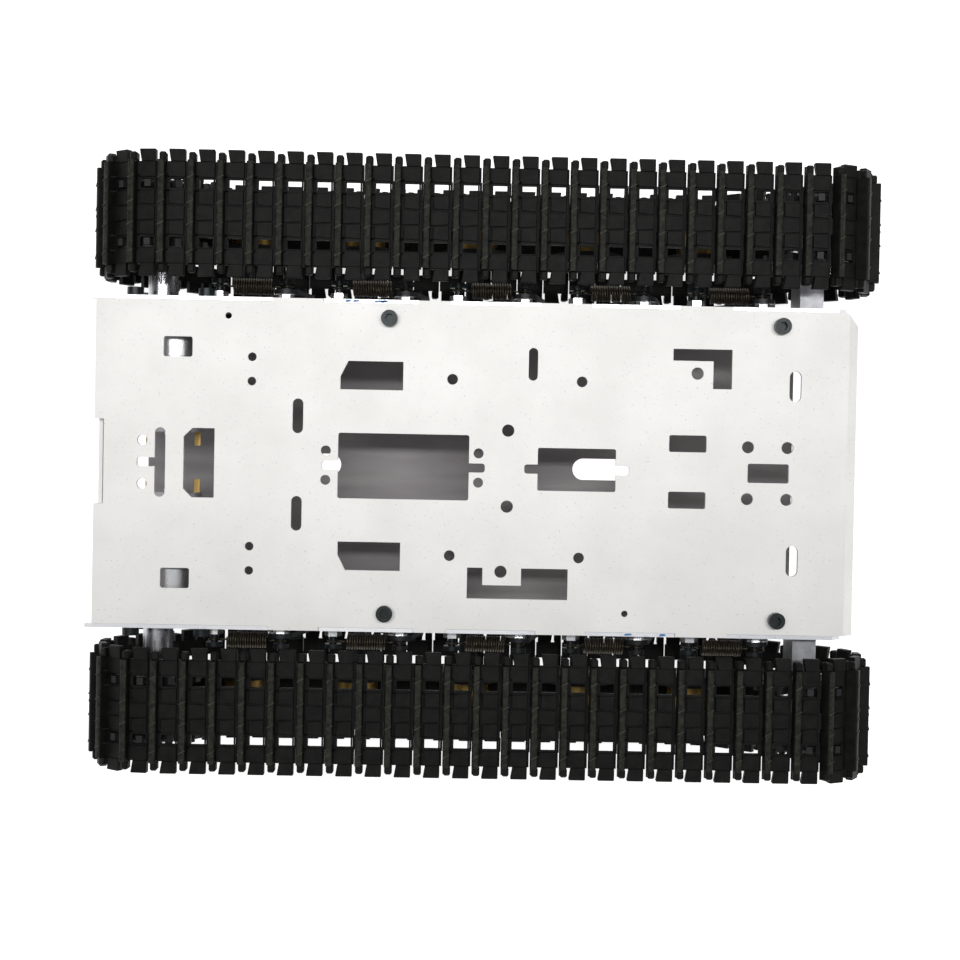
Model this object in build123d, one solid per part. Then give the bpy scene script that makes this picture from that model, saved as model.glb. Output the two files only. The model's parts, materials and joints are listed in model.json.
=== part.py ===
from build123d import *
import math
import os

os.makedirs("parts", exist_ok=True)

# ---- driving dimensions, mm, X forward, Y left, Z up, ground at Z = 0 ----
PITCH = 15.12
TEETH = 12
PIN_R = PITCH / 2 / math.sin(math.pi / TEETH)
GROUSER = 6.6
INNER = 2.2
BODY_HALF = 26.5
BARREL_R = 1.8
CROWN_HALF = 0.65
KNUCKLE = 4.0
PLATE_TOP = 1.6
FINGER_HALF = 8.9
WINDOW_HALF = 2.45
LUG_REACH = 6.1
PIN_BORE_R = 1.1
PIN_ROD_R = 1.0
TRACK_Y = 128.5
WHEEL_R = 19.5
WHEEL_GAP = 0.2
WHEEL_Z = GROUSER + INNER + WHEEL_R + WHEEL_GAP
END_Z = 75.0
DRIVE_X = -173.7
IDLER_GUESS = 174.5
DECK_X = -7.4
POST_X0 = DECK_X - 135.0
STATION = 63.3
STATIONS = 5
WHEEL_DX = 9.0
PIVOT_DX = 38.0
PIVOT_Z = 58.0
EAR_DX = 35.5
EAR_Z = 82.0
POST_Z = 82.0
SHEET = 2.0
DECK_TOP = 102.0
DECK_HALF = 84.2
SIDE_IN = 84.4
SIDE_OUT = 86.4
FLOOR_Z = 38.0
ARM_IN = 89.9
ARM_OUT = 92.4
SPRING_Y = 94.0
WIRE = 1.2
COIL_R = 3.9
HOOK_R = 2.75
DISC_Y = 15.0
DISC_T = 3.6
MOTOR_X = DRIVE_X + 7.0
NUT_NOTCH_R = 4.8
PIVOT_NUT_Y = 81.4
PILLARS = [(DECK_X + x, y) for y in (76.5, -76.5) for x in (-43.7, 160.2)]

POSTS = [POST_X0 + STATION * k for k in range(STATIONS)]


def export(name, shapes):
    solids = []
    for shape in shapes:
        solids.extend(shape.solids())
    body = solids[0] if len(solids) == 1 else Compound(solids)
    export_step(body, os.path.join("parts", name + ".step"))


def slab(face, y0, y1):
    return extrude(Plane.XZ.offset(-y1) * face, amount=y1 - y0)


def rod(x, z, radius, y0, y1):
    return slab(Pos(x, z) * Circle(radius), y0, y1)


def hexagon(x, z, across_flats, y0, y1):
    face = Pos(x, z) * RegularPolygon(across_flats / 2, 6, major_radius=False)
    return slab(face, y0, y1)


def block(x0, x1, y0, y1, z0, z1):
    size = Box(x1 - x0, y1 - y0, z1 - z0)
    return Pos((x0 + x1) / 2, (y0 + y1) / 2, (z0 + z1) / 2) * size


def upright(x, y, radius, z0, z1):
    return Pos(x, y, (z0 + z1) / 2) * Cylinder(radius, z1 - z0)


def both(name, shapes):
    export(name + "_left", shapes)
    export(name + "_right", [mirror(s, about=Plane.XZ) for s in shapes])


# ---- track path: pins at exact pitch round the sprocket, idler and end wheels ----
def tangent_heading(p, c, r):
    dx = c[0] - p[0]
    dz = c[1] - p[1]
    return math.atan2(dz, dx) - math.asin(min(1.0, r / math.hypot(dx, dz)))


def left_turn(target, heading):
    turn = (target - heading) % (2 * math.pi)
    return 0.0 if turn > 5.5 else turn


def climb(start, heading, wheel, toothed):
    pins = [start]
    p = start
    r_wheel = WHEEL_R + WHEEL_GAP + INNER
    for _ in range(12):
        options = []
        if wheel is not None:
            options.append(left_turn(tangent_heading(p, wheel, r_wheel), heading))
        options.append(left_turn(tangent_heading(p, toothed, PIN_R), heading))
        reach = math.sqrt(max(0.0, math.dist(p, toothed) ** 2 - PIN_R ** 2))
        turn = min(options)
        if reach < PITCH and turn == options[-1]:
            return pins
        heading += turn
        p = (p[0] + PITCH * math.cos(heading), p[1] + PITCH * math.sin(heading))
        pins.append(p)
    return pins


def land(p, toothed):
    d = math.dist(p, toothed)
    a = math.acos((d * d + PIN_R ** 2 - PITCH ** 2) / (2 * d * PIN_R))
    return math.atan2(p[1] - toothed[1], p[0] - toothed[0]) + a


def half_chain(first, wheel, toothed):
    pins = climb((first, 0.0), 0.0, wheel, toothed)
    angle = land(pins[-1], toothed)
    step = 2 * math.pi / TEETH
    while angle <= math.pi / 2 + 1e-9:
        pins.append((toothed[0] + PIN_R * math.cos(angle), toothed[1] + PIN_R * math.sin(angle)))
        angle += step
    return pins, angle - step


RUN_Z = GROUSER
WHEEL_XS = [x + WHEEL_DX for x in POSTS]
FLAT_LINKS = 17
FLAT_MID = (WHEEL_XS[0] + WHEEL_XS[-1]) / 2
FLAT_LEFT = FLAT_MID - FLAT_LINKS * PITCH / 2
FLAT_RIGHT = FLAT_MID + FLAT_LINKS * PITCH / 2


def end_chain(idler_x, side):
    if side > 0:
        wheel = (WHEEL_XS[-1], WHEEL_Z - RUN_Z)
        return half_chain(FLAT_RIGHT, wheel, (idler_x, END_Z - RUN_Z))
    wheel = (-WHEEL_XS[0], WHEEL_Z - RUN_Z)
    return half_chain(-FLAT_LEFT, wheel, (-DRIVE_X, END_Z - RUN_Z))


def run_gap(idler_x):
    right, _ = end_chain(idler_x, 1)
    left, _ = end_chain(idler_x, -1)
    x1, z1 = right[-1]
    x0 = -left[-1][0]
    z0 = left[-1][1]
    top = END_Z - RUN_Z + PIN_R
    lead_left = math.sqrt(max(0.0, PITCH ** 2 - (top - z0) ** 2))
    lead_right = math.sqrt(max(0.0, PITCH ** 2 - (top - z1) ** 2))
    return (x1 - lead_right) - (x0 + lead_left)


def solve_idler(guess):
    x = guess
    for _ in range(80):
        part = (run_gap(x) / PITCH + 0.5) % 1.0 - 0.5
        x -= 0.5 * PITCH * part
    return x, round(run_gap(x) / PITCH)


IDLER_X, TOP_LINKS = solve_idler(IDLER_GUESS)


def track_pins():
    right, _ = end_chain(IDLER_X, 1)
    left, _ = end_chain(IDLER_X, -1)
    top = END_Z + PIN_R
    lefts = [(-x, z + RUN_Z) for x, z in left]
    rights = [(x, z + RUN_Z) for x, z in right]
    z0 = lefts[-1][1]
    lead = math.sqrt(max(0.0, PITCH ** 2 - (top - z0) ** 2))
    x = lefts[-1][0] + lead
    upper = [(x + PITCH * k, top) for k in range(TOP_LINKS + 1)]
    flat = [(FLAT_RIGHT - PITCH * k, RUN_Z) for k in range(1, FLAT_LINKS)]
    return upper + rights[::-1] + flat + lefts


PINS = track_pins()
LINKS = len(PINS)


def wheel_phase(cx, cz):
    near = [p for p in PINS if abs(math.dist(p, (cx, cz)) - PIN_R) < 0.02]
    return math.atan2(near[1][1] - cz, near[1][0] - cx)


# ---- one track link: origin on its own pin, next pin at +X, outward is +Z ----
def track_link():
    shoulder = GROUSER - 0.4
    crown = Polyline(
        (-BARREL_R, 0), (BARREL_R, 0), (BARREL_R, shoulder), (CROWN_HALF, GROUSER),
        (-CROWN_HALF, GROUSER), (-BARREL_R, shoulder), close=True,
    )
    upper = slab(make_face(crown), -BODY_HALF, BODY_HALF)
    barrel = rod(0, 0, BARREL_R, -BODY_HALF - KNUCKLE, BODY_HALF + KNUCKLE)
    plate = block(0.0, 13.2, -BODY_HALF, BODY_HALF, -INNER, PLATE_TOP)
    link = upper + barrel + plate
    link -= block(-2.1, 2.05, -FINGER_HALF - 0.3, FINGER_HALF + 0.3, -3.0, 2.05)
    link += block(13.0, 15.2, -FINGER_HALF, FINGER_HALF, -BARREL_R, PLATE_TOP)
    link += rod(PITCH, 0, BARREL_R, -FINGER_HALF, FINGER_HALF)
    for side in (-1, 1):
        tip = side * (BODY_HALF + LUG_REACH)
        root = side * (BODY_HALF - 1.0)
        lug = make_face(Polyline((4.2, root), (11.9, root), (11.9, tip), (3.1, tip), close=True))
        link += Pos(0, 0, -1.4) * extrude(lug, amount=4.2)
        mid = side * DISC_Y
        link -= block(3.7, 11.8, mid - WINDOW_HALF, mid + WINDOW_HALF, -4.0, 4.0)
    link -= rod(0, 0, PIN_BORE_R, -40, 40)
    link -= rod(PITCH, 0, PIN_BORE_R, -40, 40)
    return link


def place_on_track(shape, k, y):
    x0, z0 = PINS[k]
    x1, z1 = PINS[(k + 1) % LINKS]
    dx = (x1 - x0) / PITCH
    dz = (z1 - z0) / PITCH
    return Plane(origin=(x0, y, z0), x_dir=(dx, 0, dz), z_dir=(-dz, 0, dx)) * shape


link = track_link()
pin = rod(0, 0, PIN_ROD_R, -29.5, 29.5)
for side_name, side_y in (("left", TRACK_Y), ("right", -TRACK_Y)):
    export("track_" + side_name, [place_on_track(link, k, side_y) for k in range(LINKS)])
    export("track_pins_" + side_name, [place_on_track(pin, k, side_y) for k in range(LINKS)])


# ---- toothed end wheels ----
def toothed_disc(phase):
    root = PIN_R * math.cos(math.pi / TEETH) - INNER - 0.3
    tip = PIN_R + 1.5
    face = Circle(root)
    for k in range(TEETH):
        a = math.degrees(phase) + 15 + 30 * k
        tooth = Polyline(
            (root - 3, -3.4), (root, -3.1), (tip, -1.6), (tip, 1.6), (root, 3.1), (root - 3, 3.4), close=True,
        )
        face += Rot(0, 0, a) * make_face(tooth)
    for k in range(6):
        a = phase + math.pi / 3 * k
        face -= Pos(18.0 * math.cos(a), 18.0 * math.sin(a)) * Circle(4.6)
    return face


def end_wheel(cx, phase, bore):
    face = Pos(cx, END_Z) * (toothed_disc(phase) - Circle(bore))
    wheel = slab(face, TRACK_Y + DISC_Y - DISC_T / 2, TRACK_Y + DISC_Y + DISC_T / 2)
    wheel += slab(face, TRACK_Y - DISC_Y - DISC_T / 2, TRACK_Y - DISC_Y + DISC_T / 2)
    tube = Pos(cx, END_Z) * (Circle(12.5) - Circle(bore))
    return wheel + slab(tube, TRACK_Y - DISC_Y - 3.5, TRACK_Y + DISC_Y + 3.5)


both("sprocket", [end_wheel(DRIVE_X, wheel_phase(DRIVE_X, END_Z), 8.1)])
hub = rod(DRIVE_X, END_Z, 8.0, 87.5, TRACK_Y + DISC_Y + 4.0)
hub += rod(DRIVE_X, END_Z, 3.0, 74.0, 88.0)
hub_screw = rod(DRIVE_X, END_Z, 10.5, TRACK_Y + DISC_Y + 4.0, TRACK_Y + DISC_Y + 5.5)
hub_screw += rod(DRIVE_X, END_Z, 4.5, TRACK_Y + DISC_Y + 5.5, TRACK_Y + DISC_Y + 8.5)
hub_screw -= hexagon(DRIVE_X, END_Z, 4.0, TRACK_Y + DISC_Y + 6.5, TRACK_Y + DISC_Y + 9.0)
both("drive_hub", [hub, hub_screw])
both("idler", [end_wheel(IDLER_X, wheel_phase(IDLER_X, END_Z), 4.2)])

# ---- sliding idler carrier ----
SLOT_HALF = 9.0
carrier = block(IDLER_X - 8, IDLER_X + 4.5, 86.6, 108.0, END_Z - 11, END_Z + 11)
carrier = chamfer(carrier.edges().filter_by(Axis.X), 1.2)
carrier += rod(IDLER_X, END_Z, 4.0, 107.0, TRACK_Y + DISC_Y + 7.5)
both("idler_carrier", [carrier])
clamp = rod(IDLER_X, END_Z, 3.0, 80.0, 86.6)
clamp += hexagon(IDLER_X, END_Z, 10.0, 78.4, 83.0)
washer = slab(Pos(IDLER_X, END_Z) * (Circle(8.0) - Circle(3.05)), 83.0, 84.3)
cap_screw = rod(IDLER_X, END_Z, 6.5, TRACK_Y + DISC_Y + 7.5, TRACK_Y + DISC_Y + 8.7)
cap_screw += rod(IDLER_X, END_Z, 4.4, TRACK_Y + DISC_Y + 8.7, TRACK_Y + DISC_Y + 11.5)
cap_screw -= hexagon(IDLER_X, END_Z, 4.0, TRACK_Y + DISC_Y + 9.7, TRACK_Y + DISC_Y + 12.0)
both("idler_clamp", [clamp, washer, cap_screw])


# ---- suspension arms, wheels, springs ----
def bridge(a, ra, b, rb):
    d = math.dist(a, b)
    base = math.atan2(b[1] - a[1], b[0] - a[0])
    swing = math.acos((ra - rb) / d)
    pts = []
    for c, r, s in ((a, ra, 1), (b, rb, 1), (b, rb, -1), (a, ra, -1)):
        t = base + s * swing
        pts.append((c[0] + r * math.cos(t), c[1] + r * math.sin(t)))
    return make_face(Polyline(*pts, close=True)) + Pos(*a) * Circle(ra) + Pos(*b) * Circle(rb)


def arm(post):
    axle = (post + WHEEL_DX, WHEEL_Z)
    pivot = (post + PIVOT_DX, PIVOT_Z)
    ear = (post + EAR_DX, EAR_Z)
    face = bridge(axle, 8.0, pivot, 9.5) + bridge(pivot, 9.5, ear, 6.5)
    face -= Pos(*axle) * Circle(3.05)
    face -= Pos(*pivot) * Circle(3.2)
    face -= Pos(*ear) * Circle(2.05)
    plate = slab(face, ARM_IN, ARM_OUT)
    stub = rod(*axle, 3.0, ARM_IN, TRACK_Y + 16.5)
    stub += rod(*axle, 4.5, 87.8, ARM_IN)
    stub += rod(*axle, 5.0, ARM_OUT, TRACK_Y - 13.3)
    stub += hexagon(*axle, 10.0, TRACK_Y + 13.3, TRACK_Y + 17.0)
    bolt = rod(*ear, 2.0, 86.7, 96.0)
    bolt += hexagon(*ear, 7.0, 86.7, ARM_IN)
    bolt += rod(*ear, 4.2, 95.6, 98.0)
    bolt -= hexagon(*ear, 3.0, 96.4, 99.0)
    return [plate, stub, bolt]


def road_wheel(post):
    axle = (post + WHEEL_DX, WHEEL_Z)
    discs = []
    for y0, y1 in ((TRACK_Y - 13, TRACK_Y - 7), (TRACK_Y + 7, TRACK_Y + 13)):
        face = Circle(WHEEL_R) - Circle(8.0)
        discs.append(slab(Pos(*axle) * face, y0, y1))
    bore = Pos(*axle) * Circle(3.2)
    sleeve = slab(Pos(*axle) * Circle(12.0), TRACK_Y - 7, TRACK_Y + 7)
    sleeve += slab(Pos(*axle) * Circle(7.95), TRACK_Y - 13, TRACK_Y + 13)
    sleeve -= slab(bore, TRACK_Y - 14, TRACK_Y + 14)
    return discs + [sleeve]


COIL_LENGTH = 21.0


def tension_spring():
    start = (EAR_DX - COIL_LENGTH) / 2
    coil = Cylinder(COIL_R + WIRE / 2, COIL_LENGTH) - Cylinder(COIL_R - WIRE / 2, COIL_LENGTH + 1)
    coil = Pos(EAR_DX / 2, 0, 0) * Rot(0, 90, 0) * coil
    near = Rot(90, 0, 0) * Torus(HOOK_R, WIRE / 2)
    near += Pos((start + 3.4) / 2, 0, 0) * Rot(0, 90, 0) * Cylinder(WIRE / 2, start - 2.2)
    near += Pos(start + 0.6, 0, -COIL_R / 2) * Cylinder(WIRE / 2, COIL_R)
    far = Pos(EAR_DX, 0, 0) * Rot(0, 0, 180) * near
    return coil + near + far


spring = tension_spring()
both("springs", [Pos(x, SPRING_Y, POST_Z) * spring for x in POSTS])
for number, post in enumerate(POSTS, 1):
    for side_name, flip in (("left", False), ("right", True)):
        for node, solids in (("arm", arm(post)), ("wheel", road_wheel(post))):
            shapes = [mirror(s, about=Plane.XZ) for s in solids] if flip else solids
            export(f"{node}_{side_name}_{number}", shapes)

posts = [hexagon(x, POST_Z, 8.0, SIDE_OUT, 91.0) - rod(x, POST_Z, 2.05, 80, 95) for x in POSTS]
export("spring_posts", posts + [mirror(p, about=Plane.XZ) for p in posts])


def post_screw(x):
    screw = rod(x, POST_Z, 2.0, 81.2, 96.0) + rod(x, POST_Z, 4.4, 95.2, 97.6)
    screw += hexagon(x, POST_Z, 7.0, 81.2, SIDE_IN)
    return screw - hexagon(x, POST_Z, 3.0, 96.2, 98.0)


screws = [post_screw(x) for x in POSTS]
export("post_screws", screws + [mirror(s, about=Plane.XZ) for s in screws])


def pivot_bolt(post):
    x = post + PIVOT_DX
    bolt = rod(x, PIVOT_Z, 3.0, PIVOT_NUT_Y, 92.6) + hexagon(x, PIVOT_Z, 10.0, PIVOT_NUT_Y, SIDE_IN)
    bolt += rod(x, PIVOT_Z, 5.0, SIDE_OUT, 89.8) + rod(x, PIVOT_Z, 5.2, 92.6, 96.1)
    return bolt - hexagon(x, PIVOT_Z, 4.0, 94.4, 97.0)


bolts = [pivot_bolt(x) for x in POSTS]
export("pivot_bolts", bolts + [mirror(b, about=Plane.XZ) for b in bolts])

# ---- gearmotors and their brackets ----
gearbox = rod(MOTOR_X, END_Z, 18.5, 56.0, 81.4) + rod(DRIVE_X, END_Z, 6.0, 81.4, 86.9)
gearbox -= rod(DRIVE_X, END_Z, 3.15, 72.0, 90.0)
both("gearbox", [gearbox])
motor = rod(MOTOR_X, END_Z, 17.8, 24.0, 56.0) + rod(MOTOR_X, END_Z, 15.0, 16.0, 24.0)
motor += rod(MOTOR_X, END_Z, 5.0, 14.5, 16.0)
terminals = [block(MOTOR_X + x - 1.5, MOTOR_X + x + 1.5, 9.0, 16.0, 77.6, 78.0) for x in (-13.0, 13.0)]
both("motor", [motor] + terminals)
BRACKET_SCREWS = [(MOTOR_X + sx * 18.7, END_Z + sz * 14.0) for sx in (-1, 1) for sz in (-1, 1)]
face = Pos(MOTOR_X, END_Z) * RectangleRounded(48, 40, 4) - Pos(DRIVE_X, END_Z) * Circle(6.2)
for sx, sz in BRACKET_SCREWS:
    face -= Pos(sx, sz) * Circle(2.55)
face -= Pos(POSTS[0], POST_Z) * Circle(NUT_NOTCH_R)
both("motor_bracket", [slab(face, 81.4, SIDE_IN)])


def bracket_screw(x, z):
    screw = rod(x, z, 2.5, 79.0, SIDE_OUT) + rod(x, z, 4.4, SIDE_OUT, 91.5)
    return screw - hexagon(x, z, 4.0, 89.0, 92.0)


screws = [bracket_screw(x, z) for x, z in BRACKET_SCREWS]
export("bracket_screws", screws + [mirror(s, about=Plane.XZ) for s in screws])

# ---- side plates ----
TABS = [(DECK_X + x, DECK_X + x + w) for x, w in ((-104, 26.0), (-28.6, 16.6), (35, 26.0), (108, 27.0))]
FLANGE_SCREW_X = POSTS + [167.0]
outline = Polyline(
    (-206.8, 101.0), (-206.8, 94.0), (-202.8, 84.0), (-202.8, 50.0), (-190.0, FLOOR_Z),
    (174.0, FLOOR_Z), (188.0, 52.0), (188.0, 96.0), (183.0, 101.0), close=True,
)
side = make_face(outline)
for x0, x1 in TABS:
    side -= Pos((x0 + x1) / 2, 101.0) * Rectangle(x1 - x0 + 0.4, 2.4)
for x in POSTS:
    side -= Pos(x, POST_Z) * Circle(2.1)
    side -= Pos(x + PIVOT_DX, PIVOT_Z) * Circle(3.1)
for x in POSTS[1:]:
    side -= Pos(x - 6, 62.0) * SlotOverall(20, 9)
side -= Pos(DRIVE_X, END_Z) * Circle(6.6)
for sx, sz in BRACKET_SCREWS:
    side -= Pos(sx, sz) * Circle(2.6)
for x in FLANGE_SCREW_X:
    side -= Pos(x, 46.0) * Circle(1.6)
side -= Pos(IDLER_X - 1.0, END_Z) * SlotOverall(18, 6.4)
both("side_plate", [slab(side, SIDE_IN, SIDE_OUT)])


def flange_screw(x):
    screw = rod(x, 46.0, 1.5, 79.5, SIDE_OUT) + rod(x, 46.0, 3.0, SIDE_OUT, 87.6)
    return screw + hexagon(x, 46.0, 5.5, 79.8, 82.2)


screws = [flange_screw(x) for x in FLANGE_SCREW_X]
export("flange_screws", screws + [mirror(s, about=Plane.XZ) for s in screws])

# ---- floor channel ----
floor = block(-188.0, 173.5, -DECK_HALF, DECK_HALF, FLOOR_Z, FLOOR_Z + SHEET)
for s in (-1, 1):
    flange = block(-188.0, 173.5, DECK_HALF - SHEET, DECK_HALF, FLOOR_Z, 52.0)
    for x in FLANGE_SCREW_X:
        flange -= rod(x, 46.0, 1.6, 80, 90)
    floor += flange if s > 0 else mirror(flange, about=Plane.XZ)
for x, y in PILLARS:
    floor -= upright(x, y, 2.6, 36, 41)
for x, y in ((-110, 0), (80, 0)):
    floor -= Pos(x, y, 39) * extrude(SlotOverall(60, 12), amount=4, both=True)
export("floor_plate", [floor])


def pillar(x, y):
    body = extrude(RegularPolygon(4.0, 6, major_radius=False), amount=60.0)
    body -= Pos(0, 0, 54.0) * Cylinder(2.55, 14.0)
    body -= Pos(0, 0, 5.0) * Cylinder(2.55, 12.0)
    return Pos(x, y, 40.0) * body


export("deck_pillars", [pillar(x, y) for x, y in PILLARS])


def cap_head(x, y, z, down):
    body = Pos(0, 0, 2.2) * Cylinder(4.25, 4.4) + Pos(0, 0, -4.5) * Cylinder(2.45, 9.2)
    body -= Pos(0, 0, 2.0) * extrude(RegularPolygon(2.0, 6, major_radius=False), amount=3.0)
    if down:
        body = Rot(180, 0, 0) * body
    return Pos(x, y, z) * body


export("deck_screws", [cap_head(x, y, DECK_TOP, False) for x, y in PILLARS])
export("floor_screws", [cap_head(x, y, FLOOR_Z, True) for x, y in PILLARS])


# ---- deck: coordinates of the cut-outs are about the middle of the flat ----
def hole(x, y, d):
    return Pos(x, y) * Circle(d / 2)


def rect(x, y, w, h):
    return Pos(x, y) * Rectangle(w, h)


def rounded(x, y, w, h, r):
    return Pos(x, y) * RectangleRounded(w, h, r)


def tall_slot(x, y, w, h):
    return Pos(x, y) * Rot(0, 0, 90) * SlotOverall(h, w)


def clipped(points):
    return make_face(Polyline(*points, close=True))


def deck_cuts():
    cuts = [rounded(-152.8, s * 60, 15.0, 10.5, 1.2) for s in (-1, 1)]
    cuts += [tall_slot(-161.3, 0, 5.5, 36.0), rounded(-168.4, 0, 9.6, 4.7, 1.2)]
    cuts += [hole(-170.5, s * 11.3, 5.3) for s in (-1, 1)]
    cuts.append(clipped([
        (-149.2, 13.5), (-144.7, 18.0), (-133.2, 18.0), (-133.2, -18.0), (-144.7, -18.0), (-149.2, -13.5),
    ]))
    cuts += [hole(-114.4, s * y, 4.5) for s in (-1, 1) for y in (42.8, 55.4)]
    cuts += [tall_slot(-90.3, s * 25.3, 5.5, 18.0) for s in (-1, 1)]
    for s in (-1, 1):
        cuts.append(clipped([
            (-68.6, s * 39.5), (-68.6, s * 46.3), (-64.6, s * 54.3), (-36.1, s * 54.3), (-36.1, s * 39.5),
        ]))
    cuts += [rounded(-35.2, 0, 68.0, 34.0, 1.2), rounded(-35.2, 0, 84.6, 4.7, 1.5)]
    cuts += [hole(-35.9 + sx * 39.65, sy * 7.6, 5.2) for sx in (-1, 1) for sy in (-1, 1)]
    cuts += [hole(x, s * 45.8, 5.6) for s in (-1, 1) for x in (-10.5, 56.8)]
    cuts += [hole(18.9, s * 19.75, 6.4) for s in (-1, 1)]
    cuts.append(tall_slot(31.3, 54.4, 4.8, 17.0))
    cuts += [rounded(54.9, 0, 40.7, 22.3, 1.0), rounded(54.9, 0, 54.6, 4.8, 1.5)]
    cuts.append(clipped([
        (104.0, 64.0), (134.8, 64.0), (134.8, 43.4), (125.0, 43.4), (125.0, 57.8), (104.0, 57.8),
    ]))
    cuts.append(hole(116.8, 51.3, 6.4))
    cuts += [rounded(112.5, s * 14.7, 19.5, 8.8, 1.0) for s in (-1, 1)]
    cuts += [hole(x, s * 13.5, 6.3) for s in (-1, 1) for x in (143.9, 164.5)]
    cuts.append(rounded(154.7, 0, 21.5, 10.0, 1.0))
    cuts += [tall_slot(168.0, s * 45.5, 6.2, 16.0) for s in (-1, 1)]
    cuts.append(clipped([
        (-1.1, -51.8), (6.9, -51.8), (6.9, -60.8), (27.0, -60.8), (27.0, -51.8), (51.3, -51.8),
        (51.3, -67.9), (-1.1, -67.9),
    ]))
    cuts += [hole(16.3, -53.7, 6.4), hole(-127.0, 76.5, 3.4), hole(81.3, -74.5, 3.4)]
    return cuts


flat = rect(0.15, 0, 391.1, 2 * DECK_HALF)
flat = Pos(DECK_X, 0) * flat
for x0, x1 in TABS:
    flat += rect((x0 + x1) / 2, 0, x1 - x0, 2 * SIDE_OUT - 0.4)
for cut in deck_cuts():
    flat -= Pos(DECK_X, 0) * cut
for x, y in PILLARS:
    flat -= hole(x, y, 5.2)
deck = Pos(0, 0, DECK_TOP - SHEET) * extrude(flat, amount=SHEET)
X1 = DECK_X + 195.7
bevel = [
    (X1 - 0.5, DECK_TOP), (X1, DECK_TOP), (X1 + 6.0, DECK_TOP - 6.0), (X1 + 6.0, 62.0), (X1 + 4.0, 62.0),
    (X1 + 4.0, DECK_TOP - 6.83), (X1 - 0.83, DECK_TOP - SHEET), (X1 - 0.83 - 0.5, DECK_TOP - SHEET),
]
deck += slab(make_face(Polyline(*bevel, close=True)), -DECK_HALF, DECK_HALF)
X0 = DECK_X - 195.4
deck += block(X0, X0 + SHEET, -DECK_HALF, DECK_HALF, 88.0, DECK_TOP)
deck -= block(X0 - 1, X0 + 5.0, -22.0, 22.0, 92.0, DECK_TOP + 1)
corner = [(X1 - 2.0, DECK_HALF + 1), (X1 + 9.0, DECK_HALF + 1), (X1 + 9.0, DECK_HALF - 9.0)]
deck -= Pos(0, 0, 60) * extrude(clipped(corner), amount=60)
export("deck_plate", [deck])
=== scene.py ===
import json
import math
import random

import bmesh
import bpy
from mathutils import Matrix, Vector


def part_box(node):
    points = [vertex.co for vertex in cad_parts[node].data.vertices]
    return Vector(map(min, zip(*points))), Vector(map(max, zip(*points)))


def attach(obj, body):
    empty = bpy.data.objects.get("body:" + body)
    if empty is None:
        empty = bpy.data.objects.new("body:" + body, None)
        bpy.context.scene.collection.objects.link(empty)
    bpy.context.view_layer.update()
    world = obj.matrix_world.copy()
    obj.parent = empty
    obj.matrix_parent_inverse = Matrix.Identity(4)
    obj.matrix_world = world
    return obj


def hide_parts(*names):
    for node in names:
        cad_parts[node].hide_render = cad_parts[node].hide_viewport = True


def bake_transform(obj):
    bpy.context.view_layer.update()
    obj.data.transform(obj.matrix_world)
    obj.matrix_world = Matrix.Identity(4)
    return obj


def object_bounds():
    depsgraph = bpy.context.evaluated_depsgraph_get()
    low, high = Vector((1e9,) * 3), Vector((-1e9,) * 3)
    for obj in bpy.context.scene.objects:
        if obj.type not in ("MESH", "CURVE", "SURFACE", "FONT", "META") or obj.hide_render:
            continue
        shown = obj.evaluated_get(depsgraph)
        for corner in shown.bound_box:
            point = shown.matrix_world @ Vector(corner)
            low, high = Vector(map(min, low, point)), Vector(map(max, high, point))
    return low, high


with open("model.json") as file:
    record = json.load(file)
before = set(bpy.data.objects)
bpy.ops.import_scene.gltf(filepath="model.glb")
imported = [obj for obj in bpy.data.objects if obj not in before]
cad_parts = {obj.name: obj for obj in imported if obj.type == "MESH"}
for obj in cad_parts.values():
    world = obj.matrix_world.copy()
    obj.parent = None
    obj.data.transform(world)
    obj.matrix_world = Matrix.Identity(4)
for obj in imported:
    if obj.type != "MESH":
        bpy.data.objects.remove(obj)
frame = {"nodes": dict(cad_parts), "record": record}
cad_low, cad_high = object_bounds()
nodes = frame["nodes"]
MM = 0.001
SIDES = (("left", 1), ("right", -1))
STATIONS = range(1, 6)

# ---- camera: above the deck, a little off the vertical ----
CAMERA_PLACE = Vector((-12.3, 5.53, 852.0)) * MM
CAMERA_TILT = [math.radians(a) for a in (-0.909, -0.718, 1.107)]
LENS = 54.15

camera_data = bpy.data.cameras.new("camera")
camera_data.sensor_width = 36.0
camera_data.lens = LENS
camera_data.clip_start = 0.01
camera_data.clip_end = 100.0
camera = bpy.data.objects.new("camera", camera_data)
camera.location = CAMERA_PLACE
camera.rotation_euler = CAMERA_TILT
bpy.context.scene.collection.objects.link(camera)
bpy.context.scene.camera = camera
bpy.context.scene.view_settings.view_transform = "Standard"


# ---- materials ----
def add(tree, kind, values=None, **settings):
    made = tree.nodes.new(kind)
    for key, value in settings.items():
        setattr(made, key, value)
    for key, value in (values or {}).items():
        made.inputs[key].default_value = value
    return made


def ramp(tree, source, stops):
    made = tree.nodes.new("ShaderNodeValToRGB")
    elements = made.color_ramp.elements
    while len(elements) < len(stops):
        elements.new(0.5)
    for element, (place, color) in zip(elements, stops):
        element.position = place
        element.color = (*color, 1.0)
    tree.links.new(source, made.inputs["Fac"])
    return made.outputs["Color"]


def noise(tree, where, scale, detail=4.0, rough=0.55):
    made = add(tree, "ShaderNodeTexNoise", {"Scale": scale, "Detail": detail, "Roughness": rough})
    tree.links.new(where, made.inputs["Vector"])
    return made.outputs["Fac"]


def stretched(tree, where, stretch):
    made = add(tree, "ShaderNodeMapping", {"Scale": stretch})
    tree.links.new(where, made.inputs["Vector"])
    return made.outputs["Vector"]


DRIFT_RANGE = (0.36, 0.64)
GRAIN_RANGE = (0.3, 0.7)
SPECK_EDGE = 0.03
BUMP_STRENGTH = 0.6
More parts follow.
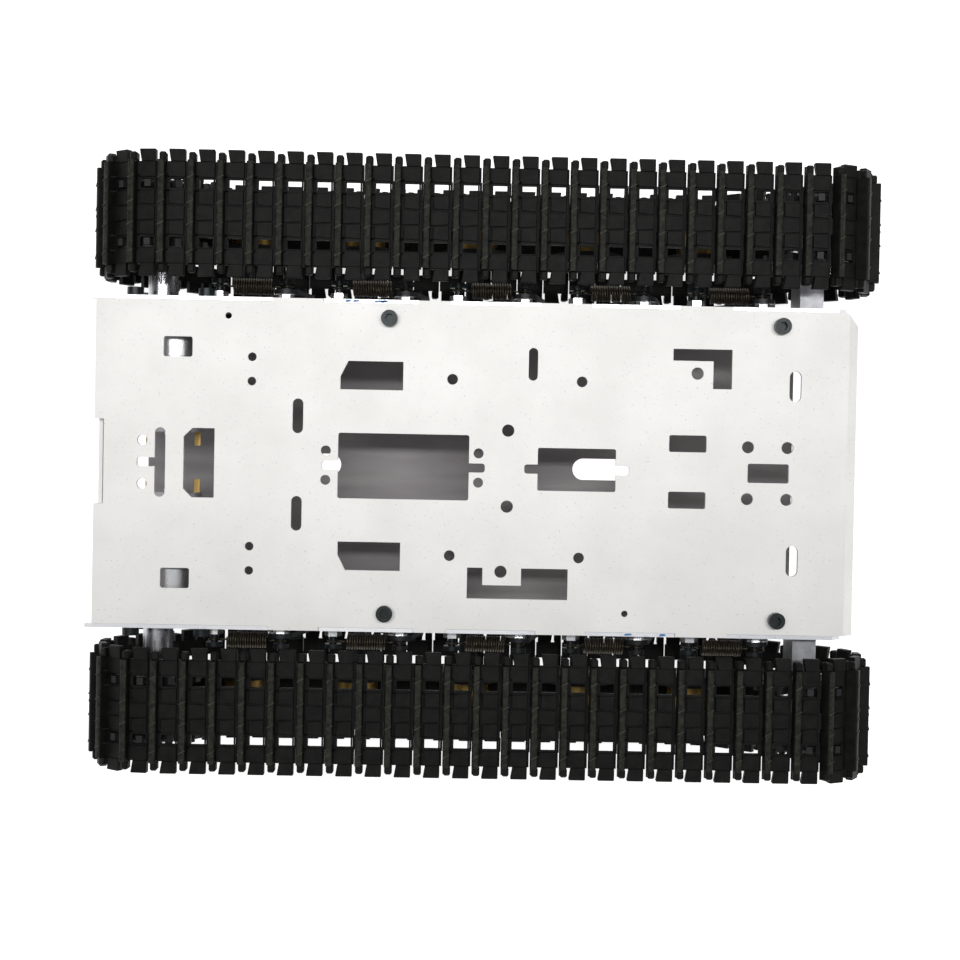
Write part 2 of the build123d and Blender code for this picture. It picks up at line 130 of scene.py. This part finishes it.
# the colour sockets of a Mix node: factor, first and second colour, result
MIX_FACTOR, MIX_FIRST, MIX_SECOND, MIX_RESULT = 0, 6, 7, 2


def finish(
    name, dark, light, metallic=0.0, roughness=(0.45, 0.6), specular=0.5, cloud=90.0, grain=2500.0,
    stretch=(1.0, 1.0, 1.0), depth=0.02, specks=None,
):
    """A surface whose colour drifts from dark to light, with a fine grain in its gloss and its height.

    cloud and grain are noise scales and stretch draws the noise out. depth is the grain's height in mm.
    specks is (noise scale, threshold, colour).
    """
    made = bpy.data.materials.new(name)
    made.use_nodes = True
    tree = made.node_tree
    shader = tree.nodes["Principled BSDF"]
    shader.inputs["Metallic"].default_value = metallic
    shader.inputs["Specular IOR Level"].default_value = specular
    where = add(tree, "ShaderNodeTexCoord").outputs["Object"]
    along = stretched(tree, where, stretch)
    drift = noise(tree, along, cloud)
    color = ramp(tree, drift, ((DRIFT_RANGE[0], dark), (DRIFT_RANGE[1], light)))
    fine = noise(tree, along, grain, 3.0, 0.6)
    if specks:
        scale, threshold, speck_color = specks
        fleck = noise(tree, where, scale, 2.0, 0.5)
        span = {"From Min": threshold, "From Max": threshold + SPECK_EDGE}
        chosen = add(tree, "ShaderNodeMapRange", span)
        tree.links.new(fleck, chosen.inputs["Value"])
        mixed = add(tree, "ShaderNodeMix", data_type="RGBA")
        mixed.inputs[MIX_SECOND].default_value = (*speck_color, 1.0)
        tree.links.new(chosen.outputs["Result"], mixed.inputs[MIX_FACTOR])
        tree.links.new(color, mixed.inputs[MIX_FIRST])
        color = mixed.outputs[MIX_RESULT]
    tree.links.new(color, shader.inputs["Base Color"])
    gloss = add(tree, "ShaderNodeMapRange", {
        "From Min": GRAIN_RANGE[0], "From Max": GRAIN_RANGE[1],
        "To Min": roughness[0], "To Max": roughness[1],
    })
    tree.links.new(fine, gloss.inputs["Value"])
    tree.links.new(gloss.outputs["Result"], shader.inputs["Roughness"])
    bump = add(tree, "ShaderNodeBump", {"Strength": BUMP_STRENGTH, "Distance": depth * MM})
    tree.links.new(fine, bump.inputs["Height"])
    tree.links.new(bump.outputs["Normal"], shader.inputs["Normal"])
    return made


LOOKS = {
    "deck_alloy": dict(
        dark=(0.83, 0.82, 0.795), light=(0.9, 0.89, 0.865), metallic=0.38, roughness=(0.42, 0.55),
        specular=0.4, cloud=22.0, grain=1500.0, specks=(900.0, 0.68, (0.66, 0.67, 0.69)),
    ),
    "frame_alloy": dict(
        dark=(0.66, 0.67, 0.7), light=(0.8, 0.8, 0.81), metallic=0.9, roughness=(0.3, 0.46), cloud=40.0,
        grain=1600.0, stretch=(0.2, 1.0, 1.0), specks=(800.0, 0.7, (0.5, 0.5, 0.52)),
    ),
    # the hull floor: the same light alloy as the deck, painted dark purple-grey as painted shade for
    # the inside of the hull
    "floor_painted_shade": dict(
        dark=(0.34, 0.32, 0.33), light=(0.46, 0.44, 0.44), metallic=0.1, roughness=(0.55, 0.68),
        specular=0.3, cloud=40.0, grain=1600.0, stretch=(0.2, 1.0, 1.0),
        specks=(800.0, 0.7, (0.42, 0.4, 0.42)),
    ),
    "bracket_alloy": dict(
        dark=(0.5, 0.51, 0.53), light=(0.62, 0.62, 0.64), metallic=0.9, roughness=(0.32, 0.46),
        cloud=60.0, grain=1800.0,
    ),
    "track_plastic": dict(
        dark=(0.0045, 0.005, 0.0043), light=(0.0105, 0.011, 0.0092), roughness=(0.44, 0.62),
        specular=0.15, cloud=160.0, grain=3200.0, depth=0.06, specks=(2600.0, 0.7, (0.06, 0.058, 0.05)),
    ),
    # lighter plastic for the faces near the top of each bar: part rub wear, part painted highlight
    # standing for the light on the bar tops
    "track_wear_and_sheen": dict(
        dark=(0.011, 0.0115, 0.0092), light=(0.034, 0.0335, 0.026), roughness=(0.46, 0.66),
        specular=0.16, cloud=420.0, grain=3600.0, depth=0.08,
        specks=(2200.0, 0.66, (0.1, 0.097, 0.085)),
    ),
    # the lightest plastic, for the ridge tops and the top of the dimple ring: painted highlight that
    # makes these small reliefs show, with some rub wear
    "track_ridge_wear_and_glint": dict(
        dark=(0.03, 0.029, 0.021), light=(0.075, 0.071, 0.052), roughness=(0.42, 0.62), specular=0.2,
        cloud=500.0, grain=3600.0,
    ),
    "wheel_plastic": dict(
        dark=(0.01, 0.01, 0.01), light=(0.018, 0.018, 0.018), roughness=(0.42, 0.58), specular=0.3,
        cloud=120.0, grain=2600.0,
    ),
    "sprocket_plastic": dict(
        dark=(0.012, 0.012, 0.012), light=(0.02, 0.02, 0.02), roughness=(0.4, 0.56), specular=0.32,
        cloud=120.0, grain=2600.0,
    ),
    "black_steel": dict(
        dark=(0.008, 0.009, 0.01), light=(0.016, 0.017, 0.019), metallic=0.25, roughness=(0.34, 0.5),
        specular=0.4, cloud=140.0, grain=2400.0,
    ),
    "black_oxide": dict(
        dark=(0.007, 0.011, 0.012), light=(0.014, 0.022, 0.024), metallic=0.4, roughness=(0.28, 0.44),
        cloud=300.0, grain=3000.0,
    ),
    "spring_steel": dict(
        dark=(0.03, 0.025, 0.018), light=(0.085, 0.072, 0.05), metallic=0.75, roughness=(0.3, 0.45),
        cloud=500.0, grain=3000.0,
    ),
    "steel_pin": dict(
        dark=(0.42, 0.42, 0.42), light=(0.58, 0.58, 0.57), metallic=1.0, roughness=(0.26, 0.4),
        cloud=300.0, grain=3000.0,
    ),
    "bright_steel": dict(
        dark=(0.4, 0.4, 0.42), light=(0.54, 0.54, 0.56), metallic=1.0, roughness=(0.22, 0.32),
        cloud=120.0, grain=2400.0, stretch=(1.0, 0.08, 1.0), depth=0.002,
    ),
    "bright_tube": dict(
        dark=(0.72, 0.71, 0.72), light=(0.86, 0.85, 0.85), metallic=1.0, roughness=(0.2, 0.34),
        cloud=200.0, grain=2400.0,
    ),
    "carrier_alloy": dict(
        dark=(0.26, 0.26, 0.27), light=(0.38, 0.38, 0.4), metallic=0.85, roughness=(0.34, 0.5),
        cloud=150.0, grain=2400.0,
    ),
    "gearbox_steel": dict(
        dark=(0.4, 0.4, 0.41), light=(0.54, 0.54, 0.55), metallic=1.0, roughness=(0.26, 0.4),
        cloud=60.0, grain=2200.0, stretch=(1.0, 0.1, 1.0),
    ),
    "motor_can": dict(
        dark=(0.42, 0.43, 0.46), light=(0.56, 0.57, 0.6), metallic=0.95, roughness=(0.28, 0.42),
        cloud=60.0, grain=2200.0, stretch=(1.0, 0.1, 1.0),
    ),
    "post_alloy": dict(
        dark=(0.62, 0.62, 0.64), light=(0.8, 0.8, 0.8), metallic=0.95, roughness=(0.2, 0.36),
        cloud=200.0, grain=2600.0,
    ),
    "brass": dict(
        dark=(0.34, 0.215, 0.06), light=(0.56, 0.38, 0.13), metallic=0.95, roughness=(0.28, 0.44),
        cloud=240.0, grain=2600.0, stretch=(1.0, 0.15, 1.0),
    ),
    "blue_film": dict(
        dark=(0.02, 0.14, 0.42), light=(0.05, 0.26, 0.62), roughness=(0.3, 0.5), cloud=600.0,
        grain=3000.0,
    ),
}
M = {name: finish(name, **look) for name, look in LOOKS.items()}

SLOT_OF = {part["node"]: part["material_slot"] for part in frame["record"]["subparts"]}


def paint(name, material):
    data = nodes[name].data
    data.materials.clear()
    data.materials.append(material)
    data.polygons.foreach_set("material_index", [0] * len(data.polygons))


for node_name in nodes:
    paint(node_name, M[SLOT_OF[node_name]])
# the floor plate is painted darker than its real alloy colour, as painted shade inside the hull
paint("floor_plate", M["floor_painted_shade"])


def repaint(name, other, test):
    """Gives the faces that pass the test a second material."""
    data = nodes[name].data
    data.materials.append(other)
    index = len(data.materials) - 1
    for face in data.polygons:
        if test(face.center):
            face.material_index = index


def centre_of(name):
    low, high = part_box(name)
    return (Vector(low) + Vector(high)) / 2


TRACK_MIDDLE = abs(centre_of("track_left").y)
SLEEVE_RADIUS = 12.1 * MM
CORE_RADIUS = 8.1 * MM
SLEEVE_HALF = 7.05 * MM
ARM_INNER = 89.95 * MM
NUT_DEPTH = 13.2 * MM
TERMINAL_END = 13.9 * MM
TUBE_RADIUS = 12.6 * MM
AXLE_START = 108.05 * MM

for side, sign in SIDES:
    for k in STATIONS:
        wheel = f"wheel_{side}_{k}"
        hub = centre_of(wheel)

        def is_sleeve(c, hub=hub, sign=sign):
            reach = math.hypot(c.x - hub.x, c.z - hub.z)
            inside = abs(c.y - sign * TRACK_MIDDLE) < SLEEVE_HALF and reach < SLEEVE_RADIUS
            return inside or reach < CORE_RADIUS

        repaint(wheel, M["brass"], is_sleeve)
        arm = f"arm_{side}_{k}"
        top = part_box(arm)[1][2]

        def is_nut(c, top=top):
            return abs(c.y) < ARM_INNER and c.z > top - NUT_DEPTH

        repaint(arm, M["post_alloy"], is_nut)
    repaint("motor_" + side, M["brass"], lambda c: abs(c.y) < TERMINAL_END)
    middle = centre_of("idler_" + side)
    repaint("idler_" + side, M["bright_tube"],
            lambda c, m=middle: math.hypot(c.x - m.x, c.z - m.z) < TUBE_RADIUS)
    repaint("idler_carrier_" + side, M["bright_tube"], lambda c: abs(c.y) > AXLE_START)


# ---- small solids, built in millimetres ----
SHARP_ANGLE = 0.5
FLAT_ANGLE = 0.02


def cut(mesh, edges, chamfer):
    bmesh.ops.bevel(mesh, geom=edges, offset=chamfer, segments=1, affect="EDGES", profile=0.5)


def solid(points, direction, chamfer):
    """The outline swept by a vector, with every edge cut by a small chamfer."""
    mesh = bmesh.new()
    face = mesh.faces.new([mesh.verts.new(p) for p in points])
    swept = bmesh.ops.extrude_face_region(mesh, geom=[face])
    moved = [v for v in swept["geom"] if isinstance(v, bmesh.types.BMVert)]
    bmesh.ops.translate(mesh, vec=Vector(direction), verts=moved)
    bmesh.ops.recalc_face_normals(mesh, faces=mesh.faces)
    if chamfer > 0:
        cut(mesh, list(mesh.edges), chamfer)
    return mesh


def across(profile, v0, v1, chamfer=0.0):
    """A profile in travel and height, swept across the track."""
    return solid([(u, v0, w) for u, w in profile], (0, v1 - v0, 0), chamfer)


def upward(outline, w0, w1, chamfer=0.0):
    """An outline in travel and width, swept outward."""
    return solid([(u, v, w0) for u, v in outline], (0, 0, w1 - w0), chamfer)


def round_bar(radius, v0, v1, sides=12):
    turn = 2 * math.pi / sides
    profile = [(radius * math.cos(turn * i), radius * math.sin(turn * i)) for i in range(sides)]
    return across(profile, v0, v1)


def plate(us, vs, w0, w1, is_solid, chamfer):
    """One watertight plate with holes, made of the solid cells of a grid."""
    mesh = bmesh.new()
    grid = {}

    def corner(i, j, top):
        key = (i, j, top)
        if key not in grid:
            grid[key] = mesh.verts.new((us[i], vs[j], w1 if top else w0))
        return grid[key]

    filled = {
        (i, j) for i in range(len(us) - 1) for j in range(len(vs) - 1)
        if is_solid((us[i] + us[i + 1]) / 2, (vs[j] + vs[j + 1]) / 2)
    }
    for i, j in filled:
        cell = [(i, j), (i + 1, j), (i + 1, j + 1), (i, j + 1)]
        mesh.faces.new([corner(a, b, True) for a, b in cell])
        mesh.faces.new([corner(a, b, False) for a, b in reversed(cell)])
        walls = (((0, -1), 0, 1), ((1, 0), 1, 2), ((0, 1), 2, 3), ((-1, 0), 3, 0))
        for (di, dj), a, b in walls:
            if (i + di, j + dj) not in filled:
                p, q = cell[a], cell[b]
                wall = [corner(*p, False), corner(*q, False), corner(*q, True), corner(*p, True)]
                mesh.faces.new(wall)
    sharp = [e for e in mesh.edges if e.calc_face_angle(0.0) > SHARP_ANGLE]
    cut(mesh, sharp, chamfer)
    bmesh.ops.dissolve_limit(mesh, angle_limit=FLAT_ANGLE, verts=mesh.verts, edges=mesh.edges)
    return mesh


def ring(centre, radius, wire, turns=12, sides=6):
    mesh = bmesh.new()
    rows = []
    for i in range(turns):
        a = 2 * math.pi * i / turns
        row = []
        for j in range(sides):
            b = 2 * math.pi * j / sides
            reach = radius + wire * math.cos(b)
            row.append(mesh.verts.new((
                centre[0] + reach * math.cos(a),
                centre[1] + reach * math.sin(a),
                centre[2] + wire * math.sin(b),
            )))
        rows.append(row)
    for i in range(turns):
        for j in range(sides):
            k, m = (i + 1) % turns, (j + 1) % sides
            mesh.faces.new((rows[i][j], rows[k][j], rows[k][m], rows[i][m]))
    return mesh


def gather(meshes):
    """Corner points and faces of several solids as one list."""
    points, faces = [], []
    for mesh in meshes:
        mesh.verts.index_update()
        start = len(points)
        points += [v.co.copy() for v in mesh.verts]
        faces += [[start + v.index for v in f.verts] for f in mesh.faces]
        mesh.free()
    return points, faces


# ---- one track link: travel u, width v, outward w, from its own hinge pin ----
BODY_HALF = 26.4
BAR_HALF = 1.9
BAR_TOP = 6.35
RIDGE_TOP = 6.58
RIDGE_FACE = BAR_TOP + 0.04
# depth below the bar top of the lighter band, which is part rub wear and part painted highlight
WEAR_AND_SHEEN_BAND = 0.4
WINDOW = (3.75, 11.9)
WINDOW_V = (12.6, 17.6)
SLIT_U = 12.7
RIB_V = (11.7, 18.6)
PLATE_END = 13.1
TONGUE_END = 14.9
TONGUE_HALF = 4.2
PLATE_W = (-2.15, 0.9)
PAD_TOP = 1.8
KNUCKLE_END = 30.8
LUG_END = 32.5
BARREL_R = 1.8
SHOULDER = 5.6
CROWN_HALF = 1.35
PAD_LEFT = 3.3
PAD_RIGHT = 11.4
PAD_BASE = 0.5
CAP_V = (18.3, 26.2)
RIDGES_V = (-20.5, -6.2, 5.0, 17.8)
RING_V = 0.8


def plate_is_solid(u, v):
    width = abs(v)
    if WINDOW[0] < u < WINDOW[1] and WINDOW_V[0] < width < WINDOW_V[1]:
        return False
    if u < SLIT_U:
        return True
    if u < PLATE_END:
        return RIB_V[0] < width < RIB_V[1] or width < TONGUE_HALF
    return width < TONGUE_HALF


def track_link():
    half = [TONGUE_HALF, RIB_V[0], WINDOW_V[0], WINDOW_V[1], RIB_V[1], BODY_HALF]
    vs = [-v for v in reversed(half)] + half
    us = [0.6, WINDOW[0], WINDOW[1], SLIT_U, PLATE_END, TONGUE_END]
    parts = [plate(us, vs, *PLATE_W, plate_is_solid, 0.2)]
    crown = [
        (-BAR_HALF, 0.0), (-BAR_HALF + 0.12, SHOULDER), (-CROWN_HALF, BAR_TOP - 0.15), (0.0, BAR_TOP),
        (CROWN_HALF, BAR_TOP - 0.15), (BAR_HALF - 0.12, SHOULDER), (BAR_HALF, 0.0),
    ]
    parts.append(across(crown, -BODY_HALF, BODY_HALF, 0.18))
    parts.append(round_bar(BARREL_R, -KNUCKLE_END + 0.3, KNUCKLE_END - 0.3))
    left, right = PAD_LEFT, PAD_RIGHT
    edge = right + 0.4
    # the middle pad narrows forward, its neighbours widen, and a cap covers each end
    pads = [[(BARREL_R, -4.15), (right, -3.55), (right, 3.35), (BARREL_R, 3.8)]]
    for s in (-1, 1):
        pads.append([(left, s * 4.5), (right, s * 4.0), (right, s * 11.7), (left, s * 11.1)])
        near, far = s * CAP_V[0], s * CAP_V[1]
        pads.append([(BARREL_R, near), (edge, near - s * 0.2), (edge, far), (BARREL_R, far)])
    parts += [upward(outline, PAD_BASE, PAD_TOP, 0.28) for outline in pads]
    for s in (-1, 1):
        lug = [(4.3, s * 26.0), (11.8, s * 26.0), (11.8, s * LUG_END), (3.2, s * LUG_END)]
        parts.append(upward(lug, -1.2, 2.5, 0.35))
        knuckle = [(-1.4, s * 26.2), (2.3, s * 26.2), (2.3, s * KNUCKLE_END), (-1.4, s * KNUCKLE_END)]
        parts.append(upward(knuckle, -1.4, 4.2, 0.75))
        # a lip along each window and a gusset where the cap meets the bar
        inner, outer = s * 12.0, s * 18.2
        lip = [(right - 0.5, inner), (edge, inner), (edge, outer), (right - 0.5, outer)]
        parts.append(upward(lip, PAD_BASE, 1.35, 0.15))
        gusset = [(BAR_HALF - 0.3, PAD_BASE), (3.6, 1.2), (BAR_HALF - 0.3, 4.4)]
        parts.append(across(gusset, s * 18.6, s * 19.5, 0.12))
        parts.append(across(gusset, s * 11.0, s * 11.8, 0.12))
    for place in RIDGES_V:
        ridge = [(u, place + v) for u, v in ((-1.7, -1.2), (-1.7, -0.6), (1.7, 1.2), (1.7, 0.6))]
        parts.append(upward(ridge, BAR_TOP - 0.8, RIDGE_TOP))
    parts.append(ring((0.1, RING_V, RIDGE_TOP - 0.2), 0.65, 0.2))
    return gather(parts)


SAME_PIN = 4.0 * MM
PITCH_LIMIT = 18.0 * MM
TOP_RUN_BAND = 0.2 * MM


def loop_of_pins(name):
    """Centres of the hinge pins, in order round the loop, from the top run forward."""
    groups = []
    for vertex in nodes[name].data.vertices:
        for group in groups:
            if math.hypot(vertex.co.x - group[0].x, vertex.co.z - group[0].z) < SAME_PIN:
                group.append(vertex.co)
                break
        else:
            groups.append([vertex.co])
    centres = []
    for group in groups:
        xs = [c.x for c in group]
        zs = [c.z for c in group]
        centres.append(Vector(((min(xs) + max(xs)) / 2, 0, (min(zs) + max(zs)) / 2)))
    top = max(c.z for c in centres)
    upper = sorted((c for c in centres if c.z > top - TOP_RUN_BAND), key=lambda c: c.x)
    loop = [upper[0], upper[1]]
    rest = [c for c in centres if c not in loop]
    while rest:
        nearest = min(rest, key=lambda c: (c - loop[-1]).length)
        if (nearest - loop[-1]).length > PITCH_LIMIT:
            break
        loop.append(nearest)
        rest.remove(nearest)
    return loop


def mesh_object(name, points, faces, materials):
    data = bpy.data.meshes.new(name)
    data.from_pydata(points, [], faces)
    data.validate()
    for made in materials:
        data.materials.append(made)
    made = bpy.data.objects.new(name, data)
    bpy.context.scene.collection.objects.link(made)
    return made


link_points, link_faces = track_link()
# each link face gets its colour by height: the higher faces are painted lighter, part wear and part
# painted highlight on the bar tops and ridges
wear_and_sheen_faces = []
for face in link_faces:
    height = sum(link_points[i].z for i in face) / len(face)
    wear_and_sheen_faces.append(2 if height > RIDGE_FACE else 1 if height > BAR_TOP - WEAR_AND_SHEEN_BAND else 0)

PIN_R = 1.0
PIN_HALF = 29.5
pin_points, pin_faces = gather([round_bar(PIN_R, -PIN_HALF, PIN_HALF)])


def take_up(piece, side):
    """Bakes the piece's placement into its mesh; points by the rear wheel and the idler are worked out
    but not used.
    """
    start = centre_of(f"wheel_{side}_5") + Vector((15.0, 0, -8.0)) * MM
    end = centre_of("idler_" + side) + Vector((-9.0, 0, -15.0)) * MM
    end.y = start.y
    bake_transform(piece)


for side, sign in SIDES:
    loop = loop_of_pins("track_pins_" + side)
    points, faces, wear_and_sheen = [], [], []
    rods, rod_faces = [], []
    for k, here in enumerate(loop):
        ahead = loop[(k + 1) % len(loop)]
        along = (ahead - here).normalized()
        outward = Vector((-along.z, 0, along.x))
        start = len(points)
        for p in link_points:
            place = here + (along * p.x + outward * p.z) * MM
            points.append((place.x, sign * TRACK_MIDDLE + p.y * MM, place.z))
        faces += [[start + i for i in face] for face in link_faces]
        wear_and_sheen += wear_and_sheen_faces
        first = len(rods)
        for p in pin_points:
            rods.append((here.x + p.x * MM, sign * TRACK_MIDDLE + p.y * MM, here.z + p.z * MM))
        rod_faces += [[first + i for i in face] for face in pin_faces]
    # plain plastic, the lighter top band and the lightest ridge tops; the lighter two are partly
    # painted highlight
    looks = [M[look] for look in ("track_plastic", "track_wear_and_sheen", "track_ridge_wear_and_glint")]
    track = mesh_object("track_belt_" + side, points, faces, looks)
    track.data.polygons.foreach_set("material_index", wear_and_sheen)
    take_up(track, side)
    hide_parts("track_" + side)
    pins = mesh_object("hinge_pins_" + side, rods, rod_faces, [M["steel_pin"]])
    take_up(pins, side)
    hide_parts("track_pins_" + side)


# ---- tension springs ----
WIRE_R = 0.5
COIL_R = 3.9
COIL_TURNS = 16
COIL_LENGTH = 21.0
HOOK_R = 2.75
PER_TURN = 14
WIRE_SIDES = 8
HOOK_STEPS = 16
HOOK_START = 40
HOOK_SWEEP = 320
LEAD = 1.2
DROP = 0.6


def spring_path(span):
    """A hook ring at each end and the coil between, along +X from the post."""
    path = []
    first = (span - COIL_LENGTH) / 2
    for i in range(HOOK_STEPS + 1):
        a = math.radians(HOOK_START + HOOK_SWEEP * i / HOOK_STEPS)
        path.append(Vector((HOOK_R * math.cos(a), 0, HOOK_R * math.sin(a))))
    path.append(Vector((first - LEAD, 0, -DROP)))
    for i in range(COIL_TURNS * PER_TURN + 1):
        a = -math.pi / 2 + 2 * math.pi * i / PER_TURN
        x = first + COIL_LENGTH * i / (COIL_TURNS * PER_TURN)
        path.append(Vector((x, COIL_R * math.cos(a), COIL_R * math.sin(a))))
    path.append(Vector((span - first + LEAD, 0, -DROP)))
    for i in range(HOOK_STEPS + 1):
        a = math.radians(180 + HOOK_SWEEP * i / HOOK_STEPS)
        path.append(Vector((span + HOOK_R * math.cos(a), 0, HOOK_R * math.sin(a))))
    return path


def tube(path, radius):
    """A closed round wire along the path."""
    points, faces = [], []
    normal = Vector((0, 1, 0))
    for i, here in enumerate(path):
        before = path[max(0, i - 1)]
        after = path[min(len(path) - 1, i + 1)]
        ahead = (after - before).normalized()
        normal = (normal - ahead * normal.dot(ahead)).normalized()
        other = ahead.cross(normal)
        for j in range(WIRE_SIDES):
            a = 2 * math.pi * j / WIRE_SIDES
            points.append(here + (normal * math.cos(a) + other * math.sin(a)) * radius)
    for i in range(len(path) - 1):
        for j in range(WIRE_SIDES):
            k = (j + 1) % WIRE_SIDES
            a, b = i * WIRE_SIDES, (i + 1) * WIRE_SIDES
            faces.append([a + j, a + k, b + k, b + j])
    faces.append(list(reversed(range(WIRE_SIDES))))
    faces.append([(len(path) - 1) * WIRE_SIDES + j for j in range(WIRE_SIDES)])
    return points, faces


def round_clusters(name, gap):
    """Places along X of the separate pieces of one node, on the left side."""
    xs = sorted(v.co.x for v in nodes[name].data.vertices if v.co.y > 0)
    groups = [[xs[0], xs[0]]]
    for x in xs:
        if x - groups[-1][1] > gap:
            groups.append([x, x])
        groups[-1][1] = x
    return [(a + b) / 2 for a, b in groups]


POSTS = round_clusters("spring_posts", 20 * MM)
post_low, post_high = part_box("spring_posts")
POST_Z = (post_low[2] + post_high[2]) / 2
spring_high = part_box("springs_left")[1]
SPRING_Y = (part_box("springs_left")[0][1] + spring_high[1]) / 2
SPAN = spring_high[0] - POSTS[-1] - (HOOK_R + 0.6) * MM

for side, sign in SIDES:
    for k in STATIONS:
        base = Vector((POSTS[k - 1], sign * SPRING_Y, POST_Z))
        points, faces = tube(spring_path(SPAN / MM), WIRE_R)
        placed = [base + Vector((p.x, sign * p.y, p.z)) * MM for p in points]
        if sign < 0:
            faces = [list(reversed(face)) for face in faces]
        spring = mesh_object(f"spring_{side}_{k}", placed, faces, [M["spring_steel"]])
        for face in spring.data.polygons:
            face.use_smooth = True
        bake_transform(spring)
        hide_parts("springs_" + side)


# ---- torn bits of protective film along the top edges of the side plates ----
chance = random.Random(4)
FILM = 0.25
FILM_SUNK = 0.05
FILM_BITS = 5
for side, sign in SIDES:
    low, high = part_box("side_plate_" + side)
    middle = (low[1] + high[1]) / 2 / MM
    top = high[2] / MM
    for number in range(FILM_BITS):
        start = chance.uniform(-110, 120)
        length = chance.uniform(3.0, 9.0)
        wide = chance.uniform(0.5, 0.8)
        outline = [
            (start, middle - wide), (start + length * 0.6, middle - wide * 0.7),
            (start + length, middle - wide * 0.2), (start + length * 0.8, middle + wide),
            (start + 0.4, middle + wide * 0.8),
        ]
        points, faces = gather([upward(outline, top - FILM_SUNK, top + FILM, FILM_SUNK)])
        film = mesh_object(f"film_{side}_{number}", [p * MM for p in points], faces, [M["blue_film"]])
        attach(film, "chassis")

# ---- floor, light and world ----
FLOOR_HALF = 12.0
FLOOR_GAP = 0.1 * MM
floor_z = cad_low[2] - FLOOR_GAP
quarters = ((-1, -1), (1, -1), (1, 1), (-1, 1))
corners = [(x * FLOOR_HALF, y * FLOOR_HALF, floor_z) for x, y in quarters]
pale = bpy.data.materials.new("pale_floor")
pale.use_nodes = True
pale_shader = pale.node_tree.nodes["Principled BSDF"]
pale_shader.inputs["Base Color"].default_value = (0.92, 0.92, 0.92, 1.0)
pale_shader.inputs["Roughness"].default_value = 0.9
pale_shader.inputs["Emission Color"].default_value = (1.0, 1.0, 1.0, 1.0)
pale_shader.inputs["Emission Strength"].default_value = 0.8
floor = mesh_object("studio_floor", corners, [[0, 1, 2, 3]], [pale])


# a long strip high over the left side
STRIP_PLACE = (0.0, 0.28, 2.0)
STRIP_LENGTH = 2.2
STRIP_WIDTH = 0.12
STRIP_POWER = 18.5

strip_data = bpy.data.lights.new("key_strip", "AREA")
strip_data.shape = "RECTANGLE"
strip_data.size = STRIP_LENGTH
strip_data.size_y = STRIP_WIDTH
strip_data.energy = STRIP_POWER
strip = bpy.data.objects.new("key_strip", strip_data)
strip.location = STRIP_PLACE
strip.rotation_euler = Vector((0, 0, -1)).to_track_quat("-Z", "Y").to_euler()
bpy.context.scene.collection.objects.link(strip)

# the world: pale at the horizon, dim above it, brighter overhead, and a cooler patch near the top
world = bpy.data.worlds.new("studio")
world.use_nodes = True
bpy.context.scene.world = world
sky = world.node_tree
back = sky.nodes["Background"]
back.inputs["Strength"].default_value = 0.95
way = add(sky, "ShaderNodeTexCoord").outputs["Generated"]
COOL_WAY = Vector((0.24, -0.13, 0.96)).normalized()
facing = add(sky, "ShaderNodeVectorMath", operation="DOT_PRODUCT")
facing.inputs[1].default_value = COOL_WAY
sky.links.new(way, facing.inputs[0])
tint = ramp(sky, facing.outputs["Value"], (
    (0.94, (1.0, 1.0, 1.0)), (0.985, (0.50, 0.54, 0.62)), (1.0, (0.42, 0.47, 0.58)),
))
height = add(sky, "ShaderNodeSeparateXYZ")
sky.links.new(way, height.inputs[0])
dome = ramp(sky, height.outputs["Z"], (
    (0.0, (0.97, 0.97, 0.97)), (0.14, (0.90, 0.90, 0.90)), (0.5, (0.20, 0.20, 0.205)),
    (0.84, (0.13, 0.13, 0.135)), (0.92, (0.50, 0.50, 0.49)), (1.0, (0.54, 0.54, 0.53)),
))
lit = add(sky, "ShaderNodeMix", data_type="RGBA", blend_type="MULTIPLY")
lit.inputs[MIX_FACTOR].default_value = 1.0
sky.links.new(dome, lit.inputs[MIX_FIRST])
sky.links.new(tint, lit.inputs[MIX_SECOND])
sky.links.new(lit.outputs[MIX_RESULT], back.inputs["Color"])
